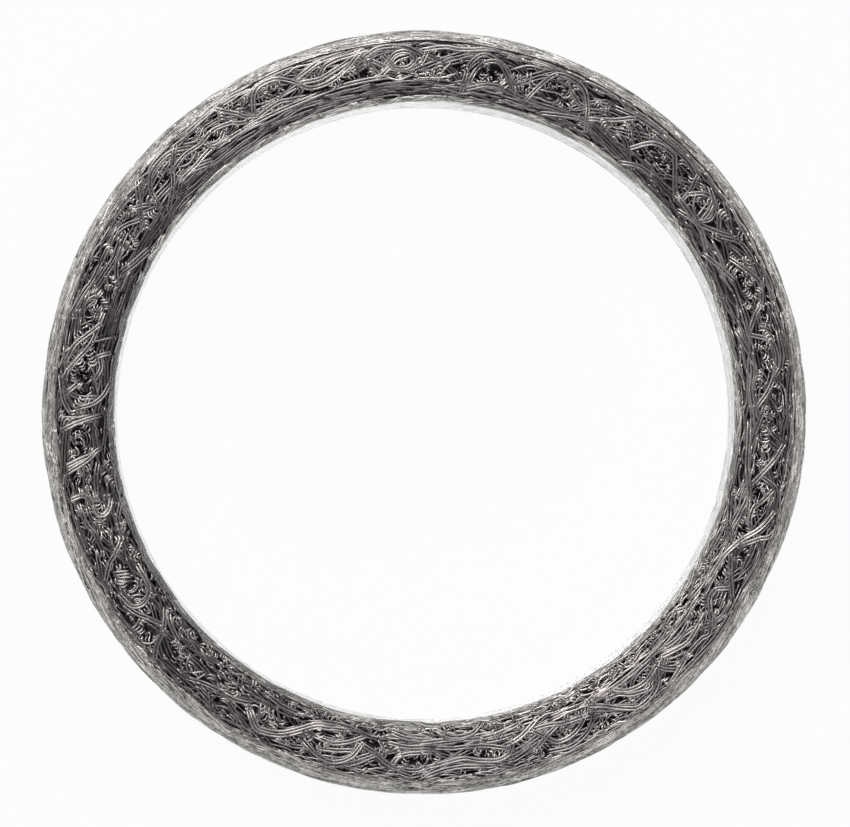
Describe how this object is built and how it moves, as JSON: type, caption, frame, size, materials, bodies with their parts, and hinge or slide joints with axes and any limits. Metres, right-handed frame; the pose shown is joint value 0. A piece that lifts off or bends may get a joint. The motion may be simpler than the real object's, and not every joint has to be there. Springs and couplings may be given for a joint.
{
  "type": "exhaust gasket",
  "caption": "Round exhaust gasket pressed from knitted steel wire, with a plain bore, a flat back and a rounded shoulder at the front.",
  "frame": {"origin": "centre of the bore on the plane of the flat back face", "axes": "+Z along the bore axis from the flat back to the rounded shoulder, +X to the right and +Y up as the front face is seen"},
  "size_m": [0.076, 0.076, 0.014],
  "materials": {
    "pressed_wire": "knitted steel wire pressed in a die, dull grey with bright crowns"
  },
  "bodies": {
    "root": {"mesh_ring": "pressed_wire"}
  },
  "joints": []
}
